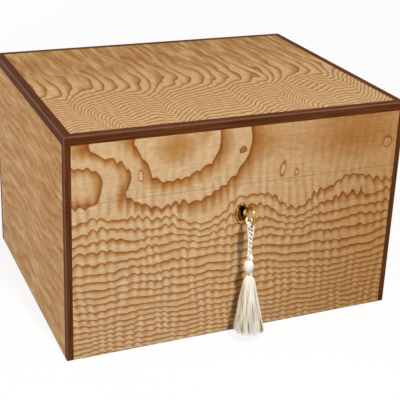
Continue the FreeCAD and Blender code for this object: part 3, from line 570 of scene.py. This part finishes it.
# The key: all sizes in mm
keySizes = {
    "bowHalfDepth": 9.3, "bowHalfHeight": 10.5, "bowRim": 3.1, "bowThickness": 2.8,
    "bowSteps": 72, "rimSteps": 16, "rimSquareness": 0.10,
    "shankRadius": 1.9, "shankSteps": 40, "tipEase": 0.5,
    "collarRadius": 3.3, "collarWidth": 1.8, "collarEase": 0.4,
    "frontFlare": (0.3, 0.6), "backFlare": (0.35, 0.7),   # how far out and how long, either side of the collar
    "bitReach": 5.4, "bitRoot": 0.6, "bitThickness": 1.6, "bitStart": 4.8, "bitLength": 2.8,
    "wardWidth": 0.8, "wardDepth": 1.2,
}
bowCentre = Vector((0, keyLow.y + keySizes["bowHalfDepth"] * mm, (keyLow.z + keyHigh.z) / 2))


def bowRing(bm, sizes):
    # a rounded rim spun to a circle, then each station of it is moved out to the oval
    halfY = sizes["bowHalfDepth"] - sizes["bowRim"] / 2
    halfZ = sizes["bowHalfHeight"] - sizes["bowRim"] / 2
    ring = bmesh.ops.create_circle(bm, segments=sizes["rimSteps"], radius=1.0)["verts"]
    bmesh.ops.scale(bm, vec=(sizes["bowThickness"] / 2 * mm, sizes["bowRim"] / 2 * mm, 1), verts=ring)
    for vert in ring:
        # squarer than a circle, as a filed and buffed rim is
        for axis in (0, 1):
            vert.co[axis] *= 1 + sizes["rimSquareness"] * abs(math.sin(2 * math.atan2(vert.co.y, vert.co.x)))
    bmesh.ops.translate(bm, vec=(0, halfY * mm, 0), verts=ring)
    edges = [edge for edge in bm.edges if edge.verts[0] in ring]
    bmesh.ops.spin(bm, geom=ring + edges, cent=(0, 0, 0), axis=(1, 0, 0), angle=2 * math.pi,
                   steps=sizes["bowSteps"], use_merge=True)
    for vert in bm.verts:
        turn = math.atan2(vert.co.z, vert.co.y)
        offset = math.hypot(vert.co.y, vert.co.z) - halfY * mm
        normal = Vector((0, math.cos(turn) / halfY, math.sin(turn) / halfZ)).normalized()
        line = Vector((0, halfY * math.cos(turn) * mm, halfZ * math.sin(turn) * mm))
        spot = line + normal * offset
        vert.co = (vert.co.x, spot.y, spot.z)
    bmesh.ops.translate(bm, vec=bowCentre, verts=bm.verts)


def keyShank(bm, sizes):
    # shank and collar, turned from inside the bow's rim to the tip
    start = sizes["bowRim"] / 2
    shankStart = Vector((0, bowCentre.y + (sizes["bowHalfDepth"] - start) * mm, bowCentre.z))
    end = (keyHigh.y - shankStart.y) / mm
    shank, collar, ease = sizes["shankRadius"], sizes["collarRadius"], sizes["collarEase"]
    back = start + sizes["collarWidth"]
    frontOut, frontLength = sizes["frontFlare"]
    backOut, backLength = sizes["backFlare"]
    outline = [(0, 0), (shank, 0), (shank, start - frontLength), (shank + frontOut, start), (collar - ease, start),
               (collar, start + ease), (collar, back - ease), (collar - ease, back),
               (shank + backOut, back), (shank, back + backLength),
               (shank, end - sizes["tipEase"]), (shank - sizes["tipEase"], end), (0, end)]
    turnedShape(bm, outline, shankStart, Vector((0, 1, 0)), sizes["shankSteps"])


def keyBit(bm, sizes):
    # a flat plate with a ward slot in its end
    far = bowCentre.z - sizes["bitReach"] * mm
    near = bowCentre.z - sizes["shankRadius"] * sizes["bitRoot"] * mm
    low = frontY + sizes["bitStart"] * mm
    high = low + sizes["bitLength"] * mm
    slotLow = (low + high - sizes["wardWidth"] * mm) / 2
    slotHigh = slotLow + sizes["wardWidth"] * mm
    slotTop = far + sizes["wardDepth"] * mm
    corners = [(low, near), (low, far), (slotLow, far), (slotLow, slotTop),
               (slotHigh, slotTop), (slotHigh, far), (high, far), (high, near)]
    thickness = sizes["bitThickness"] * mm
    plate = bm.faces.new([bm.verts.new((-thickness / 2, y, z)) for y, z in corners])
    pulled = bmesh.ops.extrude_face_region(bm, geom=[plate])["geom"]
    bmesh.ops.translate(bm, vec=(thickness, 0, 0), verts=[v for v in pulled if isinstance(v, bmesh.types.BMVert)])


def makeKey(sizes):
    bm = bmesh.new()
    bowRing(bm, sizes)
    keyShank(bm, sizes)
    keyBit(bm, sizes)
    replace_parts(newPiece("keyBrass", bm, "key", polishedBrass), "key")


makeKey(keySizes)

# The escutcheon: all sizes in mm
escutcheonSizes = {
    "halfWidth": 6.8, "halfHeight": 11.0, "belowKey": 4.6, "steps": 96,
    "holeRadius": 2.5, "slotHalf": 1.4, "slotReach": 6.2,
    # how far in from the outline, and how far out from the wood
    "rim": ((0, 0), (0, 1.1), (0.12, 1.5), (0.42, 1.85), (0.8, 2.0), (1.2, 1.88), (1.5, 1.55), (1.8, 1.2), (2.2, 1.1)),
    # how far out from the keyhole's edge, and how far out from the wood
    "hole": ((0.12, 1.1), (0.0, 0.95), (0.0, 0.0)),
}


def makeEscutcheon(sizes):
    # loops of equal count are bridged from the outer edge over the rim and in to the keyhole
    bm = bmesh.new()
    centreZ = bowCentre.z - sizes["belowKey"] * mm
    holeShift = (sizes["slotReach"] - sizes["holeRadius"]) / 2
    loops = []
    for inset, out in sizes["rim"]:
        loop = bmesh.ops.create_circle(bm, segments=sizes["steps"], radius=1.0)["verts"]
        for vert in loop:
            x = vert.co.x * (sizes["halfWidth"] - inset) * mm
            z = vert.co.y * (sizes["halfHeight"] - inset) * mm
            vert.co = (x, frontY - out * mm, centreZ + z)
        loops.append(loop)
    for grow, out in sizes["hole"]:
        loop = bmesh.ops.create_circle(bm, segments=sizes["steps"], radius=1.0)["verts"]
        for vert in loop:
            turn = math.atan2(vert.co.y, vert.co.x)
            c, s = math.cos(turn), math.sin(turn)
            reach = holeShift * s + math.sqrt(sizes["holeRadius"] ** 2 - (holeShift * c) ** 2)
            if s < 0:
                slot = min(sizes["slotHalf"] / max(abs(c), 1e-6), (sizes["slotReach"] - holeShift) / -s)
                reach = max(reach, slot)
            reach += grow
            vert.co = (reach * c * mm, frontY - out * mm, bowCentre.z - holeShift * mm + reach * s * mm)
        loops.append(loop)
    for pair in zip(loops, loops[1:]):
        rims = [edge for edge in bm.edges if any(all(v in loop for v in edge.verts) for loop in pair)]
        bmesh.ops.bridge_loops(bm, edges=rims)
    bmesh.ops.bridge_loops(bm, edges=[edge for edge in bm.edges if edge.is_boundary])
    plate = newPiece("escutcheonBrass", bm, "base", brassMaterial("shadedDishBrass"))
    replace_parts(plate, "escutcheon")


makeEscutcheon(escutcheonSizes)
print("key and escutcheon done")


# The tassel: all sizes in mm
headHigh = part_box("tassel_head")[1]
skirtLow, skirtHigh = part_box("tassel_skirt")
tasselY = (skirtLow.y + skirtHigh.y) / 2
bowFoot = 126.99
silks = {
    # silkThread's tan first stop is painted shade in the gaps between threads
    "silkThread": {"alongScale": 0.03, "aroundScale": 9.0,
                   "stops": ((0.36, "#BD9F6E"), (0.46, "#EFE4CC"), (0.55, "#FBF7EE"))},
    "silkCord": {"alongScale": 1.6, "aroundScale": 2.0,
                 "stops": ((0.25, "#EFE4CC"), (0.5, "#FBF7EE"))},
}


def silkMaterial(name):
    # spun silk: soft sheen along each thread, cream in the light, and tan painted shade in the gaps between threads
    settings = silks[name]
    material, tree, shader = startMaterial(name, {
        "Roughness": 0.55, "IOR": 1.5, "Sheen Weight": 0.35, "Sheen Roughness": 0.4})
    add = partial(addNode, tree)
    around = add("Mapping", None, {"Vector": millimetres(add), "Location": (0, -tasselY / mm, 0)})
    axes = add("SeparateXYZ", None, [around])
    angle = add("Math", "ARCTAN2", [axes.outputs["X"], axes.outputs["Y"]])
    along = add("Math", "MULTIPLY", [axes.outputs["Z"], settings["alongScale"]])
    spread = add("Math", "MULTIPLY", [angle, settings["aroundScale"]])
    streak = add("CombineXYZ", None, [spread, along, 0.0])
    threads = add("TexNoise", {"noise_dimensions": "2D"}, {"Vector": streak, "Scale": 1.0, "Detail": 3.0})
    plug(tree, add("ValToRGB", {"stops": settings["stops"]}, [threads]), shader.inputs["Base Color"])
    bump = add("Bump", None, {"Strength": 0.3, "Distance": 0.0002, "Height": threads})
    plug(tree, bump, shader.inputs["Normal"])
    return material


silkThread = silkMaterial("silkThread")
silkCord = silkMaterial("silkCord")


def onAxis(radius, angle, height):
    # a point round the tassel's own axis, in metres from mm
    return Vector((radius * math.cos(angle) * mm, tasselY + radius * math.sin(angle) * mm, height * mm))


# The doubled cord: one side of its route, as x and height, from over the bow's foot down to the knot
cordSizes = {
    "radius": 0.8, "roundness": 4, "steps": 16,
    "side": ((3.1, 130.19), (3.1, 121.49), (1.8, 113.99), (1.45, 105.49), (1.2, 95.8)),
}


def makeCord(sizes):
    # up one side, over the foot of the bow and down the other side
    route = [(-x, z) for x, z in reversed(sizes["side"])] + list(sizes["side"])
    points = [Vector((x * mm, tasselY, z * mm)) for x, z in route]
    curve = newCurve("tasselCord", sizes["radius"], sizes["roundness"], sizes["steps"])
    addSpline(curve, points)
    cord = newPiece("tasselCord", curve, "tassel", silkCord)
    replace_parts(cord, "tassel_cord")
    return cord, points[0]


hitchSizes = {
    "radius": 0.75, "roundness": 3, "steps": 8,
    "turnWidth": 2.75, "turnHeight": 2.9, "turnPoints": 10,
    "turns": ((-1.9, 0.5), (1.9, -0.5)),     # how far out along the bow, and how far they lean
    # a slack turn that lies slantwise over the rim, from the foot of the bow
    "slack": ((-1.2, -0.2, -2.6), (-2.7, 1.8, 0.4), (-3.3, 4.6, 3.6), (-2.2, 5.8, 5.4), (0.0, 5.6, 5.4),
              (2.3, 4.8, 4.4), (2.8, 2.4, 1.0), (1.6, 0.0, -2.4), (0.2, -0.6, -3.1)),
}


def makeHitch(sizes):
    # turns of the cord round the foot of the bow, one each side of the standing loop, and a slack one
    curve = newCurve("tasselHitch", sizes["radius"], sizes["roundness"], sizes["steps"])
    turns = [2 * math.pi * step / sizes["turnPoints"] for step in range(sizes["turnPoints"])]
    loops = [[(sizes["turnWidth"] * math.cos(turn), out + lean * math.cos(turn), sizes["turnHeight"] * math.sin(turn))
              for turn in turns] for out, lean in sizes["turns"]]
    for loop in loops + [sizes["slack"]]:
        addSpline(curve, [Vector((x * mm, tasselY + y * mm, (bowFoot + z) * mm)) for x, y, z in loop], cyclic=True)
    return newPiece("tasselHitch", curve, "tassel", silkCord)


twistSizes = {
    "radius": 0.85, "roundness": 2, "steps": 4,
    "plies": 2, "points": 24, "fromRadius": 1.7, "narrowing": 0.6, "turns": 2.75, "top": 122.5, "length": 27.5,
}


def makeTwist(sizes):
    # the hitch's two ends, spun round the doubled cord down to the knot
    curve = newCurve("tasselTwist", sizes["radius"], sizes["roundness"], sizes["steps"])
    for ply in range(sizes["plies"]):
        start = 2 * math.pi * ply / sizes["plies"]
        shares = [step / sizes["points"] for step in range(sizes["points"] + 1)]
        addSpline(curve, [onAxis(sizes["fromRadius"] - sizes["narrowing"] * share,
                                 start + share * sizes["turns"] * 2 * math.pi,
                                 sizes["top"] - share * sizes["length"]) for share in shares])
    return newPiece("tasselTwist", curve, "tassel", silkCord)


knotSizes = {
    "radius": 0.9, "roundness": 3, "steps": 6,
    "points": 36, "ring": 1.9, "lobe": 0.85, "rise": 2.2, "below": 3.0, "aside": 0.5,
}


def makeKnot(sizes):
    # an overhand knot, as the closed curve that its tightened cord follows
    curve = newCurve("tasselKnot", sizes["radius"], sizes["roundness"], sizes["steps"])
    middle = headHigh.z / mm - sizes["below"]
    points = []
    for step in range(sizes["points"]):
        turn = 2 * math.pi * step / sizes["points"]
        radius = sizes["ring"] + sizes["lobe"] * math.cos(3 * turn)
        spot = onAxis(radius, 2 * turn, middle + sizes["rise"] * math.sin(3 * turn))
        points.append(spot + Vector((sizes["aside"] * mm, 0, 0)))
    addSpline(curve, points, cyclic=True)
    return newPiece("tasselKnot", curve, "tassel", silkCord)


ballSizes = {
    "radius": 4.95, "halfHeight": 7.4, "middle": 82.9, "around": 120, "up": 28,
    "grooves": 30, "grooveDepth": 0.035, "dimple": 0.35, "dimpleWidth": 0.25,   # as shares of the radius
}


def makeBall(sizes):
    # the wound head: silk laid lengthways over a bead
    bm = bmesh.new()
    bmesh.ops.create_uvsphere(bm, u_segments=sizes["around"], v_segments=sizes["up"], radius=1.0)
    for vert in bm.verts:
        turn = math.atan2(vert.co.y, vert.co.x)
        belt = math.hypot(vert.co.x, vert.co.y)
        groove = 1 - sizes["grooveDepth"] * (1 - abs(math.cos(sizes["grooves"] / 2 * turn))) * belt
        dimple = sizes["dimple"] * max(0.0, 1 - belt / sizes["dimpleWidth"]) if vert.co.z > 0 else 0.0
        height = sizes["middle"] + sizes["halfHeight"] * (vert.co.z - dimple)
        vert.co = onAxis(sizes["radius"] * belt * groove, turn, height)
    return newPiece("tasselBall", bm, "tassel", silkCord)


neckSizes = {
    "radius": 1.15, "roundness": 3, "steps": 6, "strands": (-0.47, 2.67),
    # distance from the axis, height, and share of the skirt's own shift
    "route": ((1.7, 79.0, 0.0), (1.9, 74.5, 0.5), (2.1, 69.0, 1.0)),
}


def makeNeck(sizes):
    # the doubled cord again, between the wound head and the skirt
    curve = newCurve("tasselNeck", sizes["radius"], sizes["roundness"], sizes["steps"])
    for turn in sizes["strands"]:
        addSpline(curve, [onAxis(out, turn, height) + skirtAside(0) * share for out, height, share in sizes["route"]])
    return newPiece("tasselNeck", curve, "tassel", silkCord)


skirtSizes = {
    # threads a little thicker and fewer than in real silk, so that each one shows
    "threadRadius": 0.30, "roundness": 1, "steps": 3, "seed": 11,
    "layers": ((230, 0.0), (90, 0.14)),      # threads, and share of the radius further in
    "stations": (0.0, 0.04, 0.12, 0.3, 0.5, 0.72, 0.88, 1.0),
    "neck": 1.8, "shoulder": 3.0, "shoulderCurve": 30, "flare": 10.6, "flareEase": 0.4,
    # the skirt hangs a little to the right of the cord, and leans further towards its tips
    "asideTop": 1.6, "asideTips": 2.6, "asideCurve": 1.8,
    "tipSpread": 0.035, "shortShare": 0.2, "shortBy": 0.05,          # uneven ends
    "strayShare": 0.16, "stray": (0.02, 0.13), "spread": (-0.05, 0.03), "jitter": 0.4,
    "lean": 0.07, "ripple": 0.02, "rippleTurns": 9,
    "coreWidth": 0.86, "coreTop": 0.5, "coreEnd": 3.5, "coreStations": 12,
    "coreFlutes": 45, "fluteDepth": 0.05, "coreSteps": 90,
}


def skirtRadius(share):
    # radius of the skirt at a share of its length, from shoulder to tips
    shoulder = skirtSizes["shoulder"] * (1 - math.exp(-share * skirtSizes["shoulderCurve"]))
    return skirtSizes["neck"] + shoulder + skirtSizes["flare"] * share - skirtSizes["flareEase"] * share ** 2


def skirtAside(share):
    lean = skirtSizes["asideTips"] * max(share, 0.0) ** skirtSizes["asideCurve"]
    return Vector(((skirtSizes["asideTop"] + lean) * mm, 0, 0))


def makeSkirt(sizes):
    random.seed(sizes["seed"])
    top = skirtHigh.z / mm
    length = top - skirtLow.z / mm
    half = sizes["threadRadius"]
    curve = newCurve("tasselSkirt", half, sizes["roundness"], sizes["steps"])
    for count, inward in sizes["layers"]:
        for step in range(count):
            turn = 2 * math.pi * (step + random.uniform(-sizes["jitter"], sizes["jitter"])) / count
            reach = 1 - random.uniform(0.0, sizes["tipSpread"])
            reach -= sizes["shortBy"] if random.random() < sizes["shortShare"] else 0.0
            spread = 1 + random.uniform(*sizes["spread"]) - inward
            stray = random.uniform(*sizes["stray"]) if random.random() < sizes["strayShare"] else 0.0
            lean = random.uniform(-sizes["lean"], sizes["lean"])
            points = []
            for station in sizes["stations"]:
                share = station * reach
                radius = skirtRadius(share) * (spread + stray * share ** 2)
                wander = lean * share + sizes["ripple"] * math.sin(sizes["rippleTurns"] * share + step)
                spot = onAxis(radius, turn + wander, top - half - share * (length - 2 * half))
                points.append(spot + skirtAside(share))
            addSpline(curve, points)
    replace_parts(newPiece("tasselSkirt", curve, "tassel", silkThread), "tassel_skirt")


def makeCore(sizes):
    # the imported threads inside, seen only between the outer ones
    bm = bmesh.new()
    length = (skirtHigh.z - skirtLow.z) / mm
    end = length - sizes["coreEnd"]
    shares = [station / sizes["coreStations"] for station in range(sizes["coreStations"] + 1)]
    outline = [(0.0, sizes["coreTop"])]
    outline += [(skirtRadius(share) * sizes["coreWidth"], sizes["coreTop"] + share * end) for share in shares]
    outline += [(0.0, end)]
    turnedShape(bm, outline, Vector((0, tasselY, skirtHigh.z)), Vector((0, 0, -1)), sizes["coreSteps"])
    for vert in bm.verts:
        around = Vector((vert.co.x, vert.co.y - tasselY, 0))
        flute = 1 - sizes["fluteDepth"] * abs(math.sin(sizes["coreFlutes"] / 2 * math.atan2(around.y, around.x)))
        share = (skirtHigh.z - vert.co.z) / (length * mm)
        vert.co = Vector((around.x * flute, tasselY + around.y * flute, vert.co.z)) + skirtAside(share)
    newPiece("tasselCore", bm, "tassel", silkThread)


cord, cordExit = makeCord(cordSizes)
knot, ball, neck = makeKnot(knotSizes), makeBall(ballSizes), makeNeck(neckSizes)
hitch, twist = makeHitch(hitchSizes), makeTwist(twistSizes)
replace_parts(ball, "tassel_head")
makeSkirt(skirtSizes)
makeCore(skirtSizes)
print("tassel done")


# The camera stands at the photograph's viewing angle: metres and radians

cameraView = {
    "place": (-0.3901, -0.9313, 0.5310), "turn": (1.18748, -0.03992, -0.40801),
    "lens": 88.696, "sensor": 36.0, "shift": (-0.03, -0.08),
}
# each lamp's place, what it points at, its size in metres and its power in watts
softboxes = {
    "keySoftbox": ((-0.03, -1.35, 1.64), (-0.03, -0.14, 0.1), (0.18, 0.18), 36.5),
    "leftSoftbox": ((-1.5, -0.05, 0.5), (-0.1, 0, 0.1), (1.0, 0.8), 11.3),
    "rightSoftbox": ((1.6, 0.2, 0.5), (0.1, 0, 0.1), (1.0, 0.8), 8.0),
    "backSoftbox": ((-0.5, 1.7, 0.5), (0, 0.1, 0.1), (1.0, 0.8), 9.0),
}
studioLook = {
    "worldStrength": 0.06, "floorSize": 6.0, "paperRoughness": 0.9,
    # the paper's tone where it lights the box, and where it is seen
    "paperLighting": "#9C9C99", "paperSeen": "#F6F6F4",
    # the paper's own light and shade show near the box, and fade to even white far from it
    "fadeDistances": (0.7, 2.2), "evenShares": (0.88, 1.0),
}


def addCamera(view):
    data = bpy.data.cameras.new("camera")
    data.sensor_width = view["sensor"]
    data.lens = view["lens"]
    data.shift_x, data.shift_y = view["shift"]
    camera = bpy.data.objects.new("camera", data)
    camera.location = view["place"]
    camera.rotation_euler = view["turn"]
    bpy.context.scene.collection.objects.link(camera)
    bpy.context.scene.camera = camera


def addSoftbox(name, place, aim, size, power):
    data = bpy.data.lights.new(name, "AREA")
    data.shape = "RECTANGLE"
    data.size, data.size_y = size
    data.energy = power
    lamp = bpy.data.objects.new(name, data)
    lamp.location = place
    lamp.rotation_euler = (Vector(aim) - Vector(place)).to_track_quat("-Z", "Y").to_euler()
    bpy.context.scene.collection.objects.link(lamp)


def seenShare(add):
    # 1 where a surface is seen, straight or in metal or glass, and 0 where it only lights others
    rays = add("LightPath").outputs
    seen = add("Math", "MAXIMUM", [rays["Is Camera Ray"], rays["Is Glossy Ray"]])
    return add("Math", "MAXIMUM", [seen, rays["Is Transmission Ray"]])


def addWorld(look):
    world = bpy.data.worlds.new("studio")
    bpy.context.scene.world = world
    world.use_nodes = True
    world.node_tree.nodes.clear()
    add = partial(addNode, world.node_tree)
    level = add("MapRange", None, [seenShare(add), 0.0, 1.0, look["worldStrength"], 1.0])
    add("OutputWorld", None, [add("Background", None, [(1, 1, 1, 1), level])])


def addFloor(look):
    bm = bmesh.new()
    bmesh.ops.create_grid(bm, x_segments=1, y_segments=1, size=look["floorSize"])
    mesh = bpy.data.meshes.new("floor")
    bm.to_mesh(mesh)
    bm.free()
    floor = bpy.data.objects.new("floor", mesh)
    bpy.context.scene.collection.objects.link(floor)
    # matt background paper, seen white while it throws back only a third of the light on the box
    material, tree, shader = startMaterial("paper", {"Roughness": look["paperRoughness"]})
    add = partial(addNode, tree)
    seen = seenShare(add)
    paper = add("Mix", {"data_type": "RGBA"}, [seen, toLinear(look["paperLighting"]), toLinear(look["paperSeen"])])
    plug(tree, paper, shader.inputs["Base Color"])
    away = add("VectorMath", "LENGTH", {"Vector": add("TexCoord").outputs["Object"]})
    even = add("MapRange", None, [away, *look["fadeDistances"], *look["evenShares"]])
    share = add("Math", "MULTIPLY", [seen, even])
    glow = add("Emission", None, [(1, 1, 1, 1), 1.0])
    mixed = add("MixShader", None, [share, shader, glow])
    plug(tree, mixed, tree.nodes["Material Output"].inputs["Surface"])
    mesh.materials.append(material)


addCamera(cameraView)
addWorld(studioLook)
for name, (place, aim, size, power) in softboxes.items():
    addSoftbox(name, place, aim, size, power)
addFloor(studioLook)
bpy.context.scene.view_settings.view_transform = "Standard"
print("camera, lamps and floor done")
